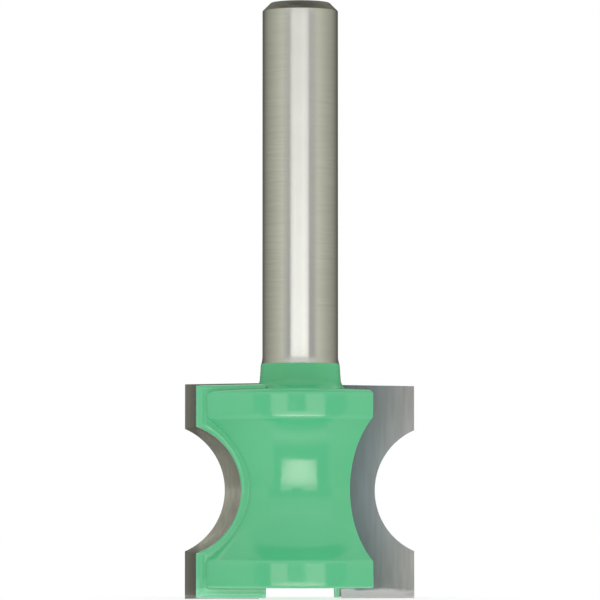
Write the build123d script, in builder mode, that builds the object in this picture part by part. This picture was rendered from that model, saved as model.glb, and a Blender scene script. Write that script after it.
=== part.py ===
from build123d import *
from math import cos, radians, sin, sqrt, tan
import os

# Two-flute half-round router bit with brazed carbide tips, in millimetres.
# +Z runs along the axis from the cutting end up to the end of the shank. The origin is
# on the axis, level with the lower ends of the tips. The right tip, on +X, shows its
# rake face to -Y, and the left tip is the same turned half a turn about the axis.

# Shank
shank_diameter = 6.35
overall_length = 50.0
shank_end_chamfer = 0.7

# Cutting outline in the plane of the rake face
cutting_diameter = 19.84
cutting_height = 17.95
hook_offset = 2.47
profile_radius = 5.55
profile_depth = 3.32
profile_lift = 0.065
end_dish = 0.1

# Carbide tips
tip_thickness = 1.6
tip_width = 6.17
radial_relief = 13.0
end_relief = 0.12
braze_film = 0.1

# Steel wings that back the tips, with a steep land round their outline
end_slot_half = 2.84
wing_root_x = 1.5
wing_step = 0.03
land_depth = 0.44
land_at_bands = 0.62
land_at_waist = 0.22
land_radius_gain = 0.7
land_at_bottom = 0.31
land_at_top = 0.16

# Turned cutter body, set back from the cutting circle
chip_limit = 0.87
waist_limit = 0.55
body_bottom_step = 0.94
body_top_step = 0.59
body_hollow_margin = 0.86
body_hollow_lift = 0.05
bottom_chamfer = 0.16
top_round_width = 1.0
top_round_height = 0.48

# Neck between the body and the ground shank
neck_foot_radius = 3.46
neck_top_radius = 3.3
neck_height = 2.29
neck_runout = 0.6
neck_fillet = 0.95

# Gullets
web_half = 1.95
gullet_wall_azimuth = 42.2
gullet_wall_radius = 7.0
gullet_root_radius = 1.0
rake_recess = 0.12
gullet_roof_radius = 4.5

# Planes of the tip's back, of its seat and of the land's inner edge
back_y = hook_offset + tip_thickness
seat_y = back_y + braze_film
ridge_y = seat_y + land_depth

# Cutting outline
cutting_radius = cutting_diameter / 2
edge_x = sqrt(cutting_radius**2 - hook_offset**2)
waist_x = edge_x - profile_depth
profile_z = cutting_height / 2 + profile_lift
tip_inner_x = edge_x - tip_width
seat_x = tip_inner_x - braze_film
body_radius = cutting_radius - chip_limit
body_top_z = cutting_height - body_top_step


def behind_edge(x):
    # Where a point of the cutting edge comes to on the tip's back, after radial relief
    edge_radius = sqrt(x**2 + hook_offset**2)
    back_radius = edge_radius - tip_thickness * tan(radians(radial_relief))
    return sqrt(back_radius**2 - back_y**2)


def hollow_reach(outer_x, apex_x, radius):
    # Half height of a hollow arc where it comes out to the straight bands
    return sqrt(radius**2 - (apex_x + radius - outer_x) ** 2)


def outline(inner_x, outer_x, apex_x, radius, bottom_z, top_z):
    # Two straight bands with a hollow arc between them, and a slightly falling top
    reach = hollow_reach(outer_x, apex_x, radius)
    with BuildSketch() as profile:
        with BuildLine():
            Polyline(
                (outer_x, profile_z + reach),
                (outer_x, top_z - end_dish),
                (inner_x, top_z),
                (inner_x, bottom_z),
                (outer_x, bottom_z),
                (outer_x, profile_z - reach),
            )
            ThreePointArc(
                (outer_x, profile_z - reach),
                (apex_x, profile_z),
                (outer_x, profile_z + reach),
            )
        make_face()
    return profile.sketch


# Right tip: cutting outline in front, relieved outline behind
back_x = behind_edge(edge_x)
back_waist_x = behind_edge(waist_x)
back_top_z = cutting_height - end_relief
with BuildPart() as right_carbide_tip:
    with BuildSketch(Plane.XZ.offset(-hook_offset)):
        add(outline(tip_inner_x, edge_x, waist_x, profile_radius, 0, cutting_height))
    with BuildSketch(Plane.XZ.offset(-back_y)):
        add(outline(tip_inner_x, back_x, back_waist_x, profile_radius, end_relief, back_top_z))
    loft(ruled=True)

# Wing behind the right tip. Its outline steps in from the tip's, and the land narrows it
# again towards the front of the wing.
wing_x = back_x - wing_step
wing_waist_x = back_waist_x - wing_step
wing_bottom_z = end_relief + wing_step
wing_top_z = back_top_z - wing_step
wing_radius = profile_radius + wing_step
with BuildPart() as wing:
    with BuildSketch(Plane.XZ.offset(-seat_y)):
        add(outline(wing_root_x, wing_x, wing_waist_x, wing_radius, wing_bottom_z, wing_top_z))
    with BuildSketch(Plane.XZ.offset(-ridge_y)):
        add(
            outline(
                wing_root_x,
                wing_x - land_at_bands,
                wing_waist_x - land_at_waist,
                wing_radius + land_radius_gain,
                wing_bottom_z + land_at_bottom,
                wing_top_z - land_at_top,
            )
        )
    loft(ruled=True)
    # Past both ends of the body, the wing stops at the sides of the end slot
    with BuildSketch(Plane.XZ.offset(-seat_y)):
        with Locations((wing_root_x, 0)):
            Rectangle(
                end_slot_half - wing_root_x,
                body_bottom_step,
                align=(Align.MIN, Align.MIN),
            )
        with Locations((wing_root_x, body_top_z)):
            Rectangle(
                end_slot_half - wing_root_x,
                body_top_step,
                align=(Align.MIN, Align.MIN),
            )
    extrude(amount=seat_y - ridge_y, mode=Mode.SUBTRACT)
    # Steel beside the tip's inner end
    with BuildSketch(Plane.XZ.offset(-hook_offset)):
        with Locations((end_slot_half, wing_bottom_z)):
            Rectangle(
                seat_x - end_slot_half,
                wing_top_z - wing_bottom_z,
                align=(Align.MIN, Align.MIN),
            )
    extrude(amount=hook_offset - seat_y)

# Space of the right gullet. Its wall stands radially on the outside and curves round the
# web inside, where it meets the rake plane.
gullet_y = hook_offset + rake_recess
reach_out = cutting_diameter
cut_margin = 1.0
wall_sin = sin(radians(gullet_wall_azimuth))
wall_cos = cos(radians(gullet_wall_azimuth))
wall_start = sqrt((web_half + gullet_wall_radius) ** 2 - gullet_wall_radius**2)
wall_far = reach_out / wall_cos
wall_centre = (
    wall_start * wall_sin + gullet_wall_radius * wall_cos,
    gullet_wall_radius * wall_sin - wall_start * wall_cos,
)
web_share = web_half / (web_half + gullet_wall_radius)
web_point = (wall_centre[0] * web_share, wall_centre[1] * web_share)
wall_end_x = wall_centre[0] - sqrt(gullet_wall_radius**2 - (gullet_y - wall_centre[1]) ** 2)
with BuildPart() as gullet:
    with BuildSketch(Plane.XY.offset(-cut_margin)):
        with BuildLine():
            ThreePointArc(
                (wall_start * wall_sin, -wall_start * wall_cos),
                web_point,
                (wall_end_x, gullet_y),
            )
            Polyline(
                (wall_end_x, gullet_y),
                (reach_out, gullet_y),
                (reach_out, -reach_out),
                (wall_far * wall_sin, -reach_out),
                (wall_start * wall_sin, -wall_start * wall_cos),
            )
        make_face()
        fillet(
            vertices().sort_by_distance((wall_end_x, gullet_y))[0],
            gullet_root_radius,
        )
    extrude(amount=cutting_height + 2 * cut_margin)
    # The neck keeps a conical foot over the root of the gullet
    with BuildSketch(Plane.XZ):
        with BuildLine():
            Polyline(
                (0, body_top_z - gullet_roof_radius),
                (gullet_roof_radius, body_top_z),
                (gullet_roof_radius, cutting_height + cut_margin),
                (0, cutting_height + cut_margin),
                close=True,
            )
        make_face()
    revolve(axis=Axis.Z, mode=Mode.SUBTRACT)

# Seat of the right tip and its braze, open to the outside and to the gullet
with BuildPart() as seat:
    with BuildSketch(Plane.XZ.offset(-seat_y)):
        with Locations((seat_x, -cut_margin)):
            Rectangle(
                reach_out,
                cutting_height + 2 * cut_margin,
                align=(Align.MIN, Align.MIN),
            )
    extrude(amount=seat_y - hook_offset)

# Shank, neck and cutter body, turned from one bar and then milled
shank_radius = shank_diameter / 2
body_waist_radius = sqrt(waist_x**2 + hook_offset**2) - waist_limit
hollow_z = profile_z + body_hollow_lift
hollow_half = hollow_reach(edge_x, waist_x, profile_radius) + body_hollow_margin
round_z = body_top_z - top_round_height
round_radius = body_radius - top_round_width
neck_top_z = body_top_z + neck_height
with BuildPart() as bit_body:
    with BuildSketch(Plane.XZ):
        with BuildLine():
            Polyline(
                (0, body_bottom_step),
                (body_radius - bottom_chamfer, body_bottom_step),
                (body_radius, body_bottom_step + bottom_chamfer),
                (body_radius, hollow_z - hollow_half),
            )
            ThreePointArc(
                (body_radius, hollow_z - hollow_half),
                (body_waist_radius, hollow_z),
                (body_radius, hollow_z + hollow_half),
            )
            Line((body_radius, hollow_z + hollow_half), (body_radius, round_z))
            EllipticalCenterArc(
                (round_radius, round_z), top_round_width, top_round_height, arc_size=90
            )
            Polyline(
                (round_radius, body_top_z),
                (neck_foot_radius, body_top_z),
                (neck_top_radius, neck_top_z),
                (shank_radius, neck_top_z + neck_runout),
                (shank_radius, overall_length - shank_end_chamfer),
                (shank_radius - shank_end_chamfer, overall_length),
                (0, overall_length),
                (0, body_bottom_step),
            )
        make_face()
        fillet(
            vertices().sort_by_distance((neck_foot_radius, body_top_z))[0],
            neck_fillet,
        )
    revolve(axis=Axis.Z)
    with PolarLocations(0, 2):
        add(wing.part)
    with PolarLocations(0, 2):
        add(gullet.part, mode=Mode.SUBTRACT)
    with PolarLocations(0, 2):
        add(seat.part, mode=Mode.SUBTRACT)

# Braze of the right tip: a film on the back of the seat and one at the inner end
with BuildPart() as right_braze:
    with BuildSketch(Plane.XZ.offset(-seat_y)):
        add(outline(seat_x, wing_x, wing_waist_x, wing_radius, wing_bottom_z, wing_top_z))
    extrude(amount=braze_film)
    with BuildSketch(Plane.XZ.offset(-back_y)):
        with Locations((seat_x, wing_bottom_z)):
            Rectangle(braze_film, wing_top_z - wing_bottom_z, align=(Align.MIN, Align.MIN))
    extrude(amount=back_y - gullet_y)

# The left tip and its braze are the right ones turned half a turn
with BuildPart() as left_carbide_tip:
    with Locations(Rotation(0, 0, 180)):
        add(right_carbide_tip.part)

with BuildPart() as left_braze:
    with Locations(Rotation(0, 0, 180)):
        add(right_braze.part)

bit_body.part.label = "bit_body"
right_carbide_tip.part.label = "right_carbide_tip"
left_carbide_tip.part.label = "left_carbide_tip"
right_braze.part.label = "right_braze"
left_braze.part.label = "left_braze"

os.makedirs("parts", exist_ok=True)
export_step(bit_body.part, "parts/bit_body.step")
export_step(right_carbide_tip.part, "parts/right_carbide_tip.step")
export_step(left_carbide_tip.part, "parts/left_carbide_tip.step")
export_step(right_braze.part, "parts/right_braze.step")
export_step(left_braze.part, "parts/left_braze.step")
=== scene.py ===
import math

import bmesh
import bpy
import numpy as np
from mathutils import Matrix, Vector


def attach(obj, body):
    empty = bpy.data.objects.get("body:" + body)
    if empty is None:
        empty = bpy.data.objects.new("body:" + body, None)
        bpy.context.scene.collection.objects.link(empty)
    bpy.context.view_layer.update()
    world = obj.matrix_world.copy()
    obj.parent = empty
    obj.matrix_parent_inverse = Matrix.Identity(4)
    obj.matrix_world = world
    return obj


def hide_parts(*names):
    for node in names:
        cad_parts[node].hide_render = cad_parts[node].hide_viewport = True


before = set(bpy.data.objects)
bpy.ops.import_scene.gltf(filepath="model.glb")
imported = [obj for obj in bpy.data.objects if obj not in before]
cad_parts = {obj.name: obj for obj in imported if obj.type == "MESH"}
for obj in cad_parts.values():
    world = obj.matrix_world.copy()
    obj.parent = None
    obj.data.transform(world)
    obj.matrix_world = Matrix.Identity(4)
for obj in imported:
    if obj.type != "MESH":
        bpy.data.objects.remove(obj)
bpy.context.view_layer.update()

# All sizes are in millimetres until a mesh is made
MM = 0.001

# Driving dimensions of the tips and of the land behind them, as in the CAD part
cutting_radius = 9.92
cut_height = 17.95
hook = 2.47
tip_thickness = 1.6
tip_width = 6.17
braze_film = 0.1
land_depth = 0.44
profile_radius = 5.55
profile_depth = 3.32
profile_lift = 0.065
end_relief = 0.12
end_dish = 0.1
radial_relief = 13.0
edge_break = 0.018

# Cutting outline, and the planes of the tip's back, its seat and the wing's ridge
tip_back = hook + tip_thickness
seat_back = tip_back + braze_film
ridge_y = seat_back + land_depth
profile_z = cut_height / 2 + profile_lift
edge_x = math.sqrt(cutting_radius**2 - hook**2)
waist_x = edge_x - profile_depth
tip_inner_x = edge_x - tip_width
seat_x = tip_inner_x - braze_film
relief_tan = math.tan(math.radians(radial_relief))


def behind_edge(x):
    """Where a point of the cutting edge comes to on the tip's back."""
    back = math.hypot(x, hook) - (tip_back - hook) * relief_tan
    return math.sqrt(back * back - tip_back * tip_back)


back_x = behind_edge(edge_x)
back_waist_x = behind_edge(waist_x)

# Turned body, set back from the cutting circle
chip_limit = 0.87
waist_limit = 0.55
body_bottom = 0.94
body_top_step = 0.59
hollow_lift = 0.05
hollow_margin = 0.86
body_radius = cutting_radius - chip_limit
waist_radius = math.hypot(waist_x, hook) - waist_limit
body_top = cut_height - body_top_step
hollow_z = profile_z + hollow_lift
tip_reach = math.sqrt(profile_radius**2 - (waist_x + profile_radius - edge_x) ** 2)
hollow_half = tip_reach + hollow_margin
hollow_sag = body_radius - waist_radius
hollow_radius = (hollow_half**2 + hollow_sag**2) / (2 * hollow_sag)
hollow_centre_r = waist_radius + hollow_radius
top_round_width = 1.0
top_round_height = 0.48

# Neck and shank
neck_foot = 3.46
neck_top = 3.3
neck_height = 2.29
neck_z = body_top + neck_height
neck_fillet = 0.95
runout = 0.6
shank_radius = 3.175
overall_length = 50.0
shank_chamfer = 0.7
chamfer_z = overall_length - shank_chamfer

# The paint stands this far out from the bare shank
coat_thickness = 0.03

# Wings behind the tips, with a steep land round their outline. The paint laps the braze's
# edge, so the wing's outline steps in less than the bare steel does.
end_slot_half = 2.84
wing_root_x = 1.5
wing_step = 0.005
wing_sink = 0.3
land_at_bands = 0.62
land_at_waist = 0.08
land_radius_gain = 0.35
land_at_bottom = 0.31
land_at_top = 0.16

# Heights of the wing's lower end: at the rake plane, at the seat, and where its ridge
# has its full rounding
foot_at_rake = 0.03
foot_at_back = 0.09
ridge_start_z = 1.0
ridge_full_z = 2.0

# Scales that make up for the land's slant, so that the wing's roundings keep their radius
side_scale = 0.58
hollow_scale = 0.9
foot_scale = 0.82
top_scale = 0.94

# Gullets
web_half = 1.95
gullet_y = hook + 0.12
gullet_root = 1.0
gullet_roof = 4.5
wall_radius = 7.0
wall_azimuth = 42.2
wall_sin = math.sin(math.radians(wall_azimuth))
wall_cos = math.cos(math.radians(wall_azimuth))
wall_start = math.sqrt((web_half + wall_radius) ** 2 - wall_radius**2)
wall_x = wall_start * wall_sin + wall_radius * wall_cos
wall_y = wall_radius * wall_sin - wall_start * wall_cos

# The paint's taper on the two bands, and its swell above their lower edges
upper_taper = 0.0175
lower_taper = 0.015
lower_taper_start = 1.25
upper_swell = 1 / 14
lower_swell = 1 / 20
upper_swell_top = hollow_z + hollow_half + 0.5
lower_swell_top = 1.55

# The seat in the paint: a little behind the tip's back, and open past the rake plane
seat_overlap = 0.02
seat_opening = 0.24

# Radii of the paint's rounded edges and of its build-up in corners
rim_round = 0.13
bottom_round = 0.12
wing_edge_round = 0.12
wing_corner_round = 0.22
wing_root_round = 0.06
foot_ridge_round = 0.08
ridge_round = 0.16
gullet_edge_round = 0.12
gullet_roof_round = 0.25
seat_edge_round = 0.02
crease_fill = 0.08

# How many four-sided faces the painted body keeps, and how fine its grid is
face_target = 88000
grid_step = 0.1
grid_margin = 0.4
grid_bottom = -0.17
grid_top = 0.3

# How far to either side the paint's normals and its bends are measured, and the bends that
# count as the sharpest
normal_probe = 0.03
bend_probe = 0.12
sharpest_rim = 8
sharpest_crease = 6


def round_and(a, b, k):
    """What two fields share, with a corner of radius k."""
    outer = np.hypot(np.maximum(a + k, 0), np.maximum(b + k, 0))
    return np.minimum(np.maximum(a, b), -k) + outer


def round_or(a, b, k):
    """Two fields joined, with a fillet of radius k."""
    inner = np.hypot(np.maximum(k - a, 0), np.maximum(k - b, 0))
    return np.maximum(np.minimum(a, b), k) - inner


def rounded_rim(r, z):
    """Distance field of the ellipse that rounds the body's upper rim."""
    u = np.maximum(r - (body_radius - top_round_width), 0) / top_round_width
    v = np.maximum(z - (body_top - top_round_height), 0) / top_round_height
    n = np.hypot(u, v)
    slope = np.hypot(u / top_round_width, v / top_round_height) / np.maximum(n, 1e-6)
    return np.where(n > 1e-6, (n - 1) / np.maximum(slope, 1.0), -1.0)


def band_set_back(z):
    """How far the bands stand inside the body's radius, from the taper and the swell."""
    upper = upper_taper * (body_top - z) + upper_swell * np.clip(upper_swell_top - z, 0, 1) ** 2
    lower = lower_taper * (z - lower_taper_start) + lower_swell * np.clip(lower_swell_top - z, 0, 1) ** 2
    return np.where(z > hollow_z, upper, lower)


def neck(r, z):
    """Distance field of the slightly conical neck, from inside the body upwards."""
    slant = (neck_foot - neck_top) / neck_height
    neck_r = neck_foot - (z - body_top) * slant
    root_z = body_top - 3.0
    return np.maximum((r - neck_r) / math.hypot(1, slant), root_z - z)


def turned_body(x, y, z):
    """Distance field of the waisted body and the neck."""
    r = np.hypot(x, y)
    bands = r - body_radius + band_set_back(z)
    solid = np.maximum(np.maximum(rounded_rim(r, z), bands), z - body_top)
    solid = round_and(solid, body_bottom - z, bottom_round)
    hollow = hollow_radius - np.hypot(r - hollow_centre_r, z - hollow_z)
    solid = round_and(solid, hollow, rim_round)
    solid = round_or(solid, neck(r, z), neck_fillet)
    return round_and(solid, z - neck_z, coat_thickness)


def wing(x, y, z):
    """Distance field of the right wing. Across the land, t goes from 0 to 1."""
    t = np.clip((y - seat_back) / land_depth, 0, 1)
    out_x = back_x - wing_step - land_at_bands * t
    apex = back_waist_x - wing_step - land_at_waist * t
    radius = profile_radius + wing_step + land_radius_gain * t
    low = np.interp(y, (hook, seat_back), (foot_at_rake, foot_at_back)) + land_at_bottom * t
    top = cut_height - end_relief - wing_step - land_at_top * t
    high = top - end_dish * np.clip((x - end_slot_half) / (out_x - end_slot_half), 0, 1)
    side = (x - out_x) * side_scale
    hollow = (radius - np.hypot(x - apex - radius, z - profile_z)) * hollow_scale
    end = np.maximum((low - z) * foot_scale, (z - high) * top_scale)
    # The corners of the outline are sharper at the seat than at the ridge
    shape = round_and(side, end, wing_corner_round * (0.4 + 0.6 * t))
    shape = round_and(shape, hollow, wing_edge_round)
    # Past both ends of the body, the wing stops at the sides of the end slot
    past_body = np.maximum(body_bottom + wing_sink - z, z - (body_top - wing_sink))
    root = np.minimum(np.maximum(past_body, wing_root_x - x), end_slot_half - x)
    shape = round_and(shape, root, wing_root_round)
    at_ridge = np.interp(z, (ridge_start_z, ridge_full_z), (foot_ridge_round, ridge_round))
    shape = round_and(shape, y - ridge_y, at_ridge)
    return np.maximum(shape, hook - y)


def gullet(x, y, z):
    """Distance field of the space in front of the right tip."""
    outer = -(x * wall_cos + y * wall_sin)
    inner = np.hypot(x - wall_x, y - wall_y) - wall_radius
    wall = np.where(x * wall_sin - y * wall_cos > wall_start, outer, inner)
    space = round_and(y - gullet_y, wall, gullet_root)
    r = np.hypot(x, y)
    roof = (r - (z - (body_top - gullet_roof))) * math.sqrt(0.5)
    return round_and(space, -np.maximum(roof, r - gullet_roof), gullet_roof_round)


def seat(x, y, z):
    """Distance field of the right tip's seat, which the paint leaves open at the front."""
    paint_back = tip_back + seat_overlap
    open_front = hook - seat_opening
    middle = (open_front + paint_back) / 2
    return np.maximum(seat_x - x, np.abs(y - middle) - (paint_back - middle))


def coated_body(x, y, z):
    """Distance field of the painted cutter body."""
    solid = turned_body(x, y, z)
    for s in (1.0, -1.0):
        solid = round_or(solid, wing(s * x, s * y, z), crease_fill)
    for s in (1.0, -1.0):
        solid = round_and(solid, -gullet(s * x, s * y, z), gullet_edge_round)
    for s in (1.0, -1.0):
        solid = round_and(solid, -seat(s * x, s * y, z), seat_edge_round)
    return solid


def at_points(field, p):
    return field(p[:, 0], p[:, 1], p[:, 2])


def gradient(field, p, h):
    """The field's slope along each axis, from its values at a distance h on both sides."""
    steps = np.eye(3) * h
    sides = [at_points(field, p + d) - at_points(field, p - d) for d in steps]
    return np.stack(sides, axis=1) / (2 * h)


def bend(field, p, h):
    """How strongly the surface turns: above 0 on outer edges, below 0 in corners."""
    total = sum(at_points(field, p + d) + at_points(field, p - d) for d in np.eye(3) * h)
    return (total - 6 * at_points(field, p)) / (h * h)


def settle(field, p, rounds):
    """Moves points along the gradient until they lie on the field's surface."""
    probe = 0.01
    least_slope = 0.25
    longest = 0.05
    for _ in range(rounds):
        g = gradient(field, p, probe)
        step = at_points(field, p) / np.maximum((g * g).sum(axis=1), least_slope)
        p = p - np.clip(step, -longest, longest)[:, None] * g
    return p


def edge_ends(values, axis):
    """The values at the near and the far end of every grid edge along an axis."""
    near, far = [slice(None)] * 3, [slice(None)] * 3
    near[axis] = slice(0, -1)
    far[axis] = slice(1, None)
    return values[tuple(near)], values[tuple(far)]


def cells_round(edges, axis):
    """The four cells that share each of these grid edges, in order round it."""
    u, v = (axis + 1) % 3, (axis + 2) % 3
    cells = []
    for du, dv in ((0, 0), (-1, 0), (-1, -1), (0, -1)):
        cell = edges.copy()
        cell[:, u] += du
        cell[:, v] += dv
        cells.append(tuple(cell.T))
    return cells


def sampled(field, low, high, step):
    """The field's values on a grid, worked out one slice at a time to save memory."""
    axes = [np.arange(low[k], high[k] + step, step) for k in range(3)]
    f = np.empty([len(a) for a in axes], np.float32)
    yy, zz = np.meshgrid(axes[1], axes[2], indexing="ij")
    for i, x in enumerate(axes[0]):
        f[i] = field(np.full_like(yy, x), yy, zz)
    return f


def net_surface(field, low, high, step):
    """Quads on the field's zero surface: a vertex in each cell, a quad on each crossed edge."""
    f = sampled(field, low, high, step)
    cells = [n - 1 for n in f.shape]
    total = np.zeros(cells + [3], np.float32)
    count = np.zeros(cells, np.float32)
    crossings = []
    # Each cell's vertex is the mean of the places where the surface crosses its edges
    for axis in range(3):
        near, far = edge_ends(f, axis)
        edges = np.argwhere((near < 0) != (far < 0))
        a, b = near[tuple(edges.T)], far[tuple(edges.T)]
        places = edges.astype(np.float32)
        places[:, axis] += a / (a - b)
        crossings.append((edges, a < 0))
        for cell in cells_round(edges, axis):
            np.add.at(total, cell, places)
            np.add.at(count, cell, 1)
    used = np.nonzero(count)
    points = total[used] / count[used][:, None] * step + np.array(low)
    number = np.zeros(cells, np.int64)
    number[used] = np.arange(len(points))
    quads = []
    # Each crossed edge has a quad between the vertices of its four cells, facing outwards
    for axis, (edges, leaving) in enumerate(crossings):
        ring = [number[cell] for cell in cells_round(edges, axis)]
        quad = np.stack(ring, axis=1)
        quads.append(np.where(leaving[:, None], quad, quad[:, ::-1]))
    return points.astype(np.float64), np.concatenate(quads)


def link(name, data):
    obj = bpy.data.objects.new(name, data)
    bpy.context.scene.collection.objects.link(obj)
    return obj


def mesh_points(mesh):
    flat = np.empty(len(mesh.vertices) * 3)
    mesh.vertices.foreach_get("co", flat)
    return flat.reshape(-1, 3)


def store(mesh, name, values):
    """Keeps one number for each vertex, for the materials."""
    layer = mesh.attributes.new(name, "FLOAT", "POINT")
    layer.data.foreach_set("value", values.astype(np.float32))


def applied(obj):
    """The object's mesh with its modifiers applied and removed."""
    graph = bpy.context.evaluated_depsgraph_get()
    mesh = bpy.data.meshes.new_from_object(obj.evaluated_get(graph))
    obj.modifiers.clear()
    old = obj.data
    obj.data = mesh
    bpy.data.meshes.remove(old)
    mesh.name = obj.name
    return mesh


def build_coated_body():
    """The painted body as a net over its field, thinned out where it is flat."""
    reach = body_radius + grid_margin
    step = grid_step
    low, high = (-reach, -reach, grid_bottom), (reach, reach, neck_z + grid_top)
    points, quads = net_surface(coated_body, low, high, step)
    points = settle(coated_body, points, 3)
    mesh = bpy.data.meshes.new("coated_cutter_body")
    mesh.from_pydata((points * MM).tolist(), [], quads.tolist())
    obj = link("coated_cutter_body", mesh)
    thin = obj.modifiers.new("thin", "DECIMATE")
    thin.ratio = min(1.0, face_target / len(quads))
    mesh = applied(obj)
    points = settle(coated_body, mesh_points(mesh) / MM, 3)
    mesh.vertices.foreach_set("co", (points * MM).ravel())
    normals = gradient(coated_body, points, normal_probe)
    normals /= np.maximum(np.linalg.norm(normals, axis=1), 1e-9)[:, None]
    mesh.polygons.foreach_set("use_smooth", np.ones(len(mesh.polygons), bool))
    mesh.normals_split_custom_set_from_vertices(normals.tolist())
    # Where the surface bends, for the paint's pale edges, which are worn and carry a painted highlight,
    # and for the painted shade in its corners
    turn = bend(coated_body, points, bend_probe)
    store(mesh, "rim", np.clip(turn / sharpest_rim, 0, 1))
    store(mesh, "crease", np.clip(-turn / sharpest_crease, 0, 1))
    mesh.update()
    return obj


def lathe(name, profile, sides):
    """A closed solid turned round Z from a profile of (radius, height) points."""
    bm = bmesh.new()
    angles = [2 * math.pi * k / sides for k in range(sides)]
    rings = []
    for r, z in profile:
        if r == 0:
            rings.append([bm.verts.new((0, 0, z * MM))])
        else:
            places = [(r * math.cos(a) * MM, r * math.sin(a) * MM, z * MM) for a in angles]
            rings.append([bm.verts.new(p) for p in places])
    for low, high in zip(rings, rings[1:]):
        for k in range(sides):
            m = (k + 1) % sides
            corners = [low[k % len(low)], low[m % len(low)], high[m % len(high)], high[k % len(high)]]
            bm.faces.new(list(dict.fromkeys(corners)))
    bmesh.ops.recalc_face_normals(bm, faces=bm.faces)
    for face in bm.faces:
        face.smooth = True
    mesh = bpy.data.meshes.new(name)
    bm.to_mesh(mesh)
    bm.free()
    return link(name, mesh)


def build_shank():
    """The bare ground shank, from inside the painted neck to the chamfered end."""
    foot_r = neck_top - coat_thickness
    plug_z = neck_z - 1.2
    profile = [(0, plug_z), (foot_r - 0.05, plug_z), (foot_r, neck_z - 0.1)]
    # The flare from the neck into the straight shank
    flare_steps = 8
    for k in range(flare_steps + 1):
        t = k / flare_steps
        r = shank_radius + (foot_r - shank_radius) * (1 - t) ** 2
        profile.append((r, neck_z + runout * t))
    # Many short rings, so that the shading along the straight shank stays even
    start_z = neck_z + runout
    straight = chamfer_z - 0.06 - start_z
    shank_steps = 59
    for k in range(1, shank_steps + 1):
        profile.append((shank_radius, start_z + straight * k / shank_steps))
    end_r = shank_radius - shank_chamfer
    # Slightly broken corners at both ends of the chamfer
    profile += [(shank_radius - 0.006, chamfer_z - 0.02), (shank_radius - 0.03, chamfer_z + 0.03)]
    profile += [(end_r + 0.03, overall_length - 0.03), (end_r - 0.01, overall_length - 0.006)]
    profile += [(end_r - 0.06, overall_length)]
    profile += [(end_r * f, overall_length) for f in (0.75, 0.5, 0.25)]
    profile += [(0, overall_length)]
    sides = 192
    obj = lathe("ground_shank", profile, sides)
    obj.data.set_sharp_from_angle(angle=math.radians(60))
    for face in obj.data.polygons:
        if face.center.z > chamfer_z * MM:
            face.material_index = 1
    return obj


def tip_outline(outer_x, apex_x, bottom_z, top_z, arc_steps):
    """Points round a tip's outline, in the same order and number for front and back."""
    centre_x = apex_x + profile_radius
    reach = math.sqrt(profile_radius**2 - (centre_x - outer_x) ** 2)
    spread = math.asin(reach / profile_radius)
    arc = []
    for k in range(arc_steps + 1):
        a = -spread + 2 * spread * k / arc_steps
        along, up = profile_radius * math.cos(a), profile_radius * math.sin(a)
        arc.append((centre_x - along, profile_z + up))
    lower = [(tip_inner_x, bottom_z), (outer_x, bottom_z)]
    upper = [(outer_x, top_z - end_dish), (tip_inner_x, top_z)]
    return lower + arc + upper


def build_tip(name, side):
    """One carbide tip: the cutting outline in front, the relieved outline behind."""
    arc_steps = 72
    back_top = cut_height - end_relief
    front = tip_outline(edge_x, waist_x, 0, cut_height, arc_steps)
    back = tip_outline(back_x, back_waist_x, end_relief, back_top, arc_steps)
    bm = bmesh.new()
    fronts = [bm.verts.new((side * x * MM, side * hook * MM, z * MM)) for x, z in front]
    backs = [bm.verts.new((side * x * MM, side * tip_back * MM, z * MM)) for x, z in back]
    bm.faces.new(fronts)
    bm.faces.new(backs[::-1])
    for k in range(len(fronts)):
        m = (k + 1) % len(fronts)
        face = bm.faces.new((fronts[m], fronts[k], backs[k], backs[m]))
        face.smooth = True
    bmesh.ops.recalc_face_normals(bm, faces=bm.faces)
    mesh = bpy.data.meshes.new(name)
    bm.to_mesh(mesh)
    bm.free()
    obj = link(name, mesh)
    edge = obj.modifiers.new("edge", "BEVEL")
    edge.width = edge_break * MM
    edge.segments = 2
    edge.limit_method = "ANGLE"
    edge.angle_limit = math.radians(30)
    edge.harden_normals = True
    applied(obj)
    return obj


def new_material(name, **values):
    """A material with its Principled shader's sockets set by name."""
    material = bpy.data.materials.new(name)
    material.use_nodes = True
    shader = material.node_tree.nodes["Principled BSDF"]
    for socket, value in values.items():
        shader.inputs[socket.replace("_", " ")].default_value = value
    return material, material.node_tree, shader


def add_node(tree, kind, inputs=None, **settings):
    """Adds a node; inputs are numbers, colours or the sockets that feed it."""
    node = tree.nodes.new("ShaderNode" + kind)
    for key, value in settings.items():
        setattr(node, key, value)
    for key, value in (inputs or {}).items():
        if isinstance(value, bpy.types.NodeSocket):
            tree.links.new(value, node.inputs[key])
        else:
            node.inputs[key].default_value = value
    return node


def noise(tree, frequency, detail=3.0, roughness=0.5):
    """Noise with its own frequency, per millimetre, along each axis of the object."""
    place = add_node(tree, "TexCoord").outputs["Object"]
    scale = tuple(f / MM for f in frequency)
    place = add_node(tree, "Mapping", {"Vector": place, "Scale": scale}).outputs["Vector"]
    inputs = {"Vector": place, "Scale": 1.0, "Detail": detail, "Roughness": roughness}
    return add_node(tree, "TexNoise", inputs).outputs["Fac"]


def remap(tree, value, low, high, from_low=0.3, from_high=0.7):
    """Turns a value between from_low and from_high into one between low and high."""
    ends = {"From Min": from_low, "From Max": from_high, "To Min": low, "To Max": high}
    return add_node(tree, "MapRange", {"Value": value, **ends}).outputs["Result"]


def mix_colour(tree, factor, a, b):
    """Colour a where the factor is 0, and b where it is 1."""
    node = add_node(tree, "Mix", data_type="RGBA")
    for key, value in (("Factor_Float", factor), ("A_Color", a), ("B_Color", b)):
        socket = next(s for s in node.inputs if s.identifier == key)
        if isinstance(value, bpy.types.NodeSocket):
            tree.links.new(value, socket)
        else:
            socket.default_value = value
    return next(s for s in node.outputs if s.identifier == "Result_Color")


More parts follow.
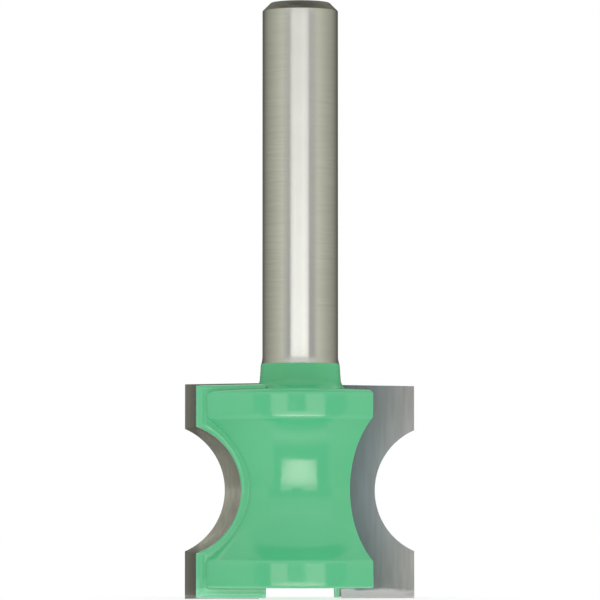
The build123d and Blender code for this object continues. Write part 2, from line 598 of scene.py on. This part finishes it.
def arithmetic(tree, operation, a, b):
    return add_node(tree, "Math", {0: a, 1: b}, operation=operation).outputs["Value"]


def bump(tree, height, distance):
    """A normal that stands out by the distance, in millimetres, where the height is 1."""
    inputs = {"Height": height, "Strength": 1.0, "Distance": distance * MM}
    return add_node(tree, "Bump", inputs).outputs["Normal"]


def object_axes(tree):
    """The object's own X, Y and Z in metres, as a node's outputs."""
    place = add_node(tree, "TexCoord").outputs["Object"]
    return add_node(tree, "SeparateXYZ", {"Vector": place}).outputs


def follow_turning(tree, shader):
    """Lets the anisotropic gloss run round the bit's axis."""
    tangent = add_node(tree, "Tangent", direction_type="RADIAL", axis="Z").outputs["Tangent"]
    tree.links.new(tangent, shader.inputs["Tangent"])


def paint_material():
    """Gloss green paint: built up in corners with painted shade there and on its neck, and paler on
    edges from wear and a painted highlight.
    """
    material, tree, shader = new_material(
        "gloss_green_paint", IOR=1.6, Specular_Tint=(1.0, 0.66, 0.74, 1)
    )
    deep_green = (0.084, 0.525, 0.243, 1)
    clear_green = (0.094, 0.550, 0.260, 1)
    feet_light_green = (0.21, 0.72, 0.42, 1)
    wear_sheen_green = (0.19, 0.64, 0.37, 1)
    ridge_highlight_green = (0.36, 0.82, 0.55, 1)
    neck_shade_green = (0.068, 0.49, 0.210, 1)
    crease_shade_green = (0.045, 0.40, 0.160, 1)
    rim = add_node(tree, "Attribute", attribute_name="rim").outputs["Fac"]
    crease = add_node(tree, "Attribute", attribute_name="crease").outputs["Fac"]
    height = object_axes(tree)["Z"]
    cloud = remap(tree, noise(tree, (0.16, 0.16, 0.16)), 0, 1)
    colour = mix_colour(tree, cloud, deep_green, clear_green)
    # Painted light on the wings' feet below the body, and every edge paler, most of all low down, from
    # wear and a painted highlight
    thin = remap(tree, height, 0.7, 0, (body_bottom - 0.1) * MM, (body_bottom + 0.02) * MM)
    colour = mix_colour(tree, thin, colour, feet_light_green)
    wear_and_sheen = arithmetic(tree, "MULTIPLY", rim, remap(tree, height, 1.0, 0.35, 1.2 * MM, 2.0 * MM))
    colour = mix_colour(tree, wear_and_sheen, colour, wear_sheen_green)
    # A painted highlight on the edges of the wings' feet
    ridge = remap(tree, rim, 0, 0.6, 0.15, 0.7)
    foot_ridge_highlight = arithmetic(tree, "MULTIPLY", ridge, remap(tree, height, 1, 0, 0.7 * MM, 0.85 * MM))
    colour = mix_colour(tree, foot_ridge_highlight, colour, ridge_highlight_green)
    # Painted shade on the neck, and in the corners above the feet
    neck_shade = remap(tree, height, 0, 0.75, (body_top + 0.1) * MM, (body_top + 0.5) * MM)
    colour = mix_colour(tree, neck_shade, colour, neck_shade_green)
    crease_shade = arithmetic(tree, "MULTIPLY", crease, remap(tree, height, 0, 0.6, 1.2 * MM, 2.0 * MM))
    colour = mix_colour(tree, crease_shade, colour, crease_shade_green)
    tree.links.new(colour, shader.inputs["Base Color"])
    gloss = remap(tree, noise(tree, (1.3, 1.3, 1.3)), 0.09, 0.14)
    dull = remap(tree, crease, 0, 0.5, 0.25, 0.6)
    tree.links.new(arithmetic(tree, "ADD", gloss, dull), shader.inputs["Roughness"])
    swell = bump(tree, noise(tree, (1.1, 1.1, 0.9), detail=1.5), 0.004)
    tree.links.new(swell, shader.inputs["Normal"])
    return material


def shank_material():
    """Centreless-ground steel: fine lines round the shank spread its gloss along it."""
    material, tree, shader = new_material(
        "ground_shank_steel", Metallic=1.0, Anisotropic=0.95, Anisotropic_Rotation=0.25
    )
    handled_steel = (0.49, 0.49, 0.452, 1)
    clean_steel = (0.52, 0.52, 0.481, 1)
    scratch_steel = (0.435, 0.435, 0.40, 1)
    lines = noise(tree, (0.25, 0.25, 9.0), detail=4)
    smudge = noise(tree, (0.22, 0.22, 0.16), detail=2)
    colour = mix_colour(tree, remap(tree, smudge, 0, 1), handled_steel, clean_steel)
    colour = mix_colour(tree, remap(tree, lines, 0, 0.35), colour, scratch_steel)
    tree.links.new(colour, shader.inputs["Base Color"])
    tree.links.new(remap(tree, lines, 0.22, 0.27), shader.inputs["Roughness"])
    follow_turning(tree, shader)
    tree.links.new(bump(tree, lines, 0.0012), shader.inputs["Normal"])
    return material


def end_material():
    """The turned end of the shank, duller than the ground part."""
    material, tree, shader = new_material("turned_end_steel", Metallic=1.0)
    dark_ring = (0.15, 0.145, 0.122, 1)
    pale_ring = (0.205, 0.20, 0.17, 1)
    rings = noise(tree, (1.2, 1.2, 7.0), detail=3)
    colour = mix_colour(tree, remap(tree, rings, 0, 1), dark_ring, pale_ring)
    tree.links.new(colour, shader.inputs["Base Color"])
    tree.links.new(remap(tree, rings, 0.40, 0.48), shader.inputs["Roughness"])
    tree.links.new(bump(tree, rings, 0.003), shader.inputs["Normal"])
    return material


def carbide_material():
    """Ground tungsten carbide with grinding lines that run along the tip."""
    material, tree, shader = new_material("ground_carbide", Metallic=1.0, Anisotropic=0.7)
    dim_reflection_grey = (0.180, 0.207, 0.226, 1)
    ground_grey = (0.300, 0.292, 0.284, 1)
    corner_highlight_grey = (0.40, 0.387, 0.384, 1)
    clearance_grey = (0.45, 0.45, 0.41, 1)
    shaded_grey = (0.02, 0.02, 0.018, 1)
    streak_grey = (0.12, 0.12, 0.115, 1)
    pale_lower_grey = (0.59, 0.565, 0.57, 1)
    axes = object_axes(tree)
    depth = arithmetic(tree, "ABSOLUTE", axes["Y"], 0.0)
    reach = arithmetic(tree, "ABSOLUTE", axes["X"], 0.0)
    # Painted reflection on the rake face: darker towards its inner end, with a painted highlight low at
    # its outer end
    outward = remap(tree, reach, 0, 1, 5.2 * MM, 9.4 * MM)
    colour = mix_colour(tree, outward, dim_reflection_grey, ground_grey)
    low = remap(tree, axes["Z"], 1, 0, 1.0 * MM, 4.6 * MM)
    corner_highlight = arithmetic(tree, "MULTIPLY", arithmetic(tree, "MULTIPLY", outward, outward), low)
    colour = mix_colour(tree, corner_highlight, colour, corner_highlight_grey)
    # The clearance faces are lighter beside the edge, with painted shade further back and on the
    # straight bands
    behind = remap(tree, depth, 0, 1, (hook + 0.03) * MM, (hook + 0.06) * MM)
    colour = mix_colour(tree, behind, colour, clearance_grey)
    deeper = remap(tree, depth, 0, 0.22, (hook + 0.2) * MM, tip_back * MM)
    on_bands = arithmetic(tree, "MULTIPLY", behind, remap(tree, reach, 0, 0.45, 8.2 * MM, 8.7 * MM))
    shade = arithmetic(tree, "ADD", deeper, on_bands)
    colour = mix_colour(tree, shade, colour, shaded_grey)
    streaks = noise(tree, (3.2, 3.0, 0.30), detail=4)
    colour = mix_colour(tree, remap(tree, streaks, 0, 0.28), colour, streak_grey)
    # The rake face is lighter along its lower end, with an uneven border
    ragged = remap(tree, noise(tree, (0.7, 0.7, 1.2), detail=3), -0.14, 0.14)
    level = arithmetic(tree, "ADD", axes["Z"], arithmetic(tree, "MULTIPLY", ragged, MM))
    pale_lower = remap(tree, level, 1, 0, 0.60 * MM, 0.86 * MM)
    on_rake_face = remap(tree, behind, 1, 0, 0, 1)
    pale_lower = arithmetic(tree, "MULTIPLY", pale_lower, on_rake_face)
    colour = mix_colour(tree, pale_lower, colour, pale_lower_grey)
    tree.links.new(colour, shader.inputs["Base Color"])
    tree.links.new(remap(tree, behind, 0.42, 0.25, 0, 1), shader.inputs["Roughness"])
    follow_turning(tree, shader)
    return material


def braze_material():
    """Silver solder, a little rough and yellow."""
    material, tree, shader = new_material("silver_braze", Metallic=1.0)
    dull_solder = (0.26, 0.26, 0.24, 1)
    bright_solder = (0.36, 0.36, 0.33, 1)
    grain = noise(tree, (3.0, 3.0, 3.0), detail=4)
    colour = mix_colour(tree, remap(tree, grain, 0, 1), dull_solder, bright_solder)
    tree.links.new(colour, shader.inputs["Base Color"])
    tree.links.new(remap(tree, grain, 0.3, 0.5), shader.inputs["Roughness"])
    tree.links.new(bump(tree, grain, 0.01), shader.inputs["Normal"])
    return material


# The studio's cards, in degrees of azimuth and in millimetres. A light panel lies on the
# ground in front and turns up the wall, with a dark gap in its middle there, as a lens
# would leave. Beside it are a dark mat on the ground and a dark frame on the wall. Pale
# cards stand at the sides and overhead, and fade towards the back.
card_reach = 350
card_lift = 0.3
overhead_z = 420
overhead_stretch = 2.7
panel_ends = (-31.0, 26.0)
panel_start = 22
lens_ends = (-13, 5.5)
mat_end = 44
frame_end = 50


def inside(azimuth, ends):
    return ends[0] < azimuth < ends[1]


def toward(azimuth, distance, z):
    """A place round the axis: azimuth 0 is the front, 90 the right."""
    a = math.radians(azimuth)
    return (distance * math.sin(a), -distance * math.cos(a), z)


def wall_place(azimuth, z):
    return toward(azimuth, card_reach, z)


def wall_glow(azimuth, z):
    """The panel's upturned end, dark above it, and paler higher up and at the sides."""
    if inside(azimuth, lens_ends):
        return np.interp(z, (4, 6, 50, 86, 130, 180, 300), (2.1, 0.3, 0.5, 1.0, 1.1, 1.25, 1.0))
    if inside(azimuth, panel_ends):
        return np.interp(z, (20, 22, 50, 86, 130, 180, 300), (2.35, 0.45, 0.5, 1.0, 1.1, 1.25, 1.0))
    if inside(azimuth, (-frame_end, frame_end)):
        return np.interp(z, (50, 86, 130, 180, 300), (0.5, 1.0, 1.05, 1.2, 1.0))
    sides = (frame_end, 62, 75, 86, 110, 129, 146, 180)
    low = np.interp(abs(azimuth), sides, (1.05, 1.05, 0.92, 0.82, 0.64, 0.42, 0.18, 0.12))
    return np.interp(z, (36, 100, 200, 300), (low, 0.85 * low, 0.9 * low, 0.95))


def ground_place(azimuth, distance):
    """The panel narrows a little towards the bit, a little more on the left."""
    narrowing = np.interp(distance, (panel_start, 70), (0.885, 1.0))
    squeeze = narrowing * (0.942 if azimuth < 0 else 0.993)
    squeeze = np.interp(abs(azimuth), (mat_end + 0.4, 60), (squeeze, 1.0))
    return toward(azimuth * squeeze, distance, card_lift)


def near_glow(distance):
    """The floor close to the bit, with a pale ring that the lower band mirrors."""
    places = (10.3, 10.9, 12.5, 13.5, 15, 17)
    return np.interp(distance, places, (0.55, 0.85, 1.4, 1.45, 0.95, 0.5))


def panel_glow(azimuth, distance):
    """The light panel, strongest towards the bit and along its middle."""
    middle = 1 - min(1.0, abs(azimuth + 2) / 27.5) ** 2
    peak = 1 + middle * np.interp(distance, (76, card_reach), (0.38, 0.0))
    peak -= (1 - middle) ** 2 * np.interp(distance, (23, 34), (0.6, 0.05))
    places = (22.6, 32, 48, 76, 141, card_reach)
    return peak * np.interp(distance, places, (4.3, 4.3, 4.1, 3.4, 2.4, 2.1))


def ground_glow(azimuth, distance):
    if inside(azimuth, panel_ends) and distance > panel_start:
        return panel_glow(azimuth, distance)
    if inside(azimuth, (-mat_end, mat_end)):
        return near_glow(distance)
    return np.interp(abs(azimuth), (frame_end, 80, 110, 180), (1.0, 0.65, 0.35, 0.30))


def overhead_place(azimuth, distance):
    x, y, z = toward(azimuth, distance, overhead_z)
    return (overhead_stretch * x, y, z)


def overhead_glow(azimuth, distance):
    """Dark right above the bit, and weaker again towards the back."""
    behind = -distance * math.cos(math.radians(azimuth))
    fall = np.interp(behind, (100, 260), (1.0, 0.55))
    return fall * np.interp(distance, (80, 110, 300, 420), (0.10, 0.75, 0.90, 0.95))


def card_material(name):
    """A light whose strength and warmth are kept at the card's vertices."""
    material = bpy.data.materials.new(name)
    material.use_nodes = True
    tree = material.node_tree
    tree.nodes.clear()
    strength = add_node(tree, "Attribute", attribute_name="glow").outputs["Fac"]
    warm = add_node(tree, "Attribute", attribute_name="warmth").outputs["Fac"]
    colour = mix_colour(tree, warm, (1, 1, 1, 1), (1.0, 1.0, 0.88, 1))
    light = add_node(tree, "Emission", {"Color": colour, "Strength": strength}).outputs["Emission"]
    add_node(tree, "OutputMaterial", {"Surface": light})
    return material


def build_card(name, columns, rows, place, glow):
    """A studio card that only gloss sees, as a grid with its own strength at each point."""
    bm = bmesh.new()
    grid = [[bm.verts.new(Vector(place(c, r)) * MM) for r in rows] for c in columns]
    strengths = [glow(c, r) for c in columns for r in rows]
    warmth = [1.0 if abs(c) > frame_end else 0.0 for c in columns for r in rows]
    for left, right in zip(grid, grid[1:]):
        for k in range(len(rows) - 1):
            bm.faces.new((left[k], right[k], right[k + 1], left[k + 1]))
    mesh = bpy.data.meshes.new(name)
    bm.to_mesh(mesh)
    bm.free()
    store(mesh, "glow", np.array(strengths))
    store(mesh, "warmth", np.array(warmth))
    mesh.materials.append(card_material(name))
    obj = link(name, mesh)
    obj.visible_camera = False
    obj.visible_diffuse = False
    obj.visible_transmission = False
    obj.visible_volume_scatter = False
    obj.visible_shadow = False


def build_cards():
    """The wall, the ground and the overhead card, with a column on each side of a border."""
    borders = (-frame_end, -mat_end, *panel_ends, *lens_ends, mat_end, frame_end)
    at_borders = [border + side for border in borders for side in (-0.4, 0.4)]
    azimuths = sorted(list(range(-180, 181, 4)) + at_borders)
    heights = (0, 4, 6, 20, 22, 36, 50, 60, 72, 86, 100, 130, 160, 200, 240, 300)
    near = (9.2, 9.8, 10.3, 10.9, 11.6, 12.5, 13.5, 15, 17, 21.6, 22.6, 26)
    far = (32, 40, 48, 60, 76, 100, 141, 180, 220, 260, 300, card_reach)
    rings = (1, 40, 80, 95, 110, 200, 300, 420)
    build_card("surround", azimuths, heights, wall_place, wall_glow)
    build_card("ground", azimuths, near + far, ground_place, ground_glow)
    build_card("overhead", azimuths, rings, overhead_place, overhead_glow)


def white_where_seen(tree):
    """1 for rays from the camera, in gloss or through glass, and 0 for diffuse light."""
    path = add_node(tree, "LightPath").outputs
    seen = arithmetic(tree, "MAXIMUM", path["Is Camera Ray"], path["Is Glossy Ray"])
    return arithmetic(tree, "MAXIMUM", seen, path["Is Transmission Ray"])


def build_floor():
    """A pale, faintly lit floor that keeps the bit's shadow and runs out into white."""
    half = 3.0
    corners = [(-half, -half, 0), (half, -half, 0), (half, half, 0), (-half, half, 0)]
    mesh = bpy.data.meshes.new("floor")
    mesh.from_pydata(corners, [], [(0, 1, 2, 3)])
    obj = link("floor", mesh)
    material, _, shader = new_material("pale_floor", Roughness=0.9, Emission_Strength=0.66)
    shader.inputs["Base Color"].default_value = (0.41, 0.41, 0.41, 1)
    shader.inputs["Specular IOR Level"].default_value = 0.0
    shader.inputs["Emission Color"].default_value = (1, 1, 1, 1)
    mesh.materials.append(material)


def build_world():
    """White where it is seen. As diffuse light it is a little weaker from above."""
    world = bpy.data.worlds.new("world")
    world.use_nodes = True
    tree = world.node_tree
    tree.nodes.clear()
    place = add_node(tree, "TexCoord").outputs["Generated"]
    height = add_node(tree, "SeparateXYZ", {"Vector": place}).outputs["Z"]
    soft = remap(tree, height, 1.04, 0.80, 0.1, 0.9)
    inputs = {"Value": white_where_seen(tree), "To Min": soft, "To Max": 1.0}
    strength = add_node(tree, "MapRange", inputs).outputs["Result"]
    light = add_node(tree, "Background", {"Color": (1, 1, 1, 1), "Strength": strength})
    add_node(tree, "OutputWorld", {"Surface": light.outputs["Background"]})
    bpy.context.scene.world = world


def build_camera():
    """The photograph's view: from low in front, and slightly upwards. Places in millimetres."""
    sideways = -0.02
    distance = 411.0
    height = 5.3
    aim_height = 25.0
    view_angle = 7.0
    data = bpy.data.cameras.new("camera")
    camera = link("camera", data)
    camera.location = Vector((sideways, -distance, height)) * MM
    aim = Vector((sideways, 0.0, aim_height)) * MM
    camera.rotation_euler = (aim - camera.location).to_track_quat("-Z", "Y").to_euler()
    data.lens_unit = "FOV"
    data.angle = math.radians(view_angle)
    data.clip_start = 0.01
    bpy.context.scene.camera = camera


body = build_coated_body()
body.data.materials.append(paint_material())
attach(body, "root")
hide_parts("bit_body")

shank = build_shank()
shank.data.materials.append(shank_material())
shank.data.materials.append(end_material())
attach(shank, "root")
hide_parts("bit_body")

carbide = carbide_material()
for name, side in (("right_carbide_tip", 1), ("left_carbide_tip", -1)):
    tip = build_tip(name.replace("_tip", "_insert"), side)
    tip.data.materials.append(carbide)
    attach(tip, "root")
    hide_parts(name)

braze = braze_material()
for name in ("right_braze", "left_braze"):
    for material_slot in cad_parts[name].material_slots:
        material_slot.material = braze

build_cards()
build_floor()
build_world()
build_camera()
bpy.context.scene.view_settings.view_transform = "Standard"
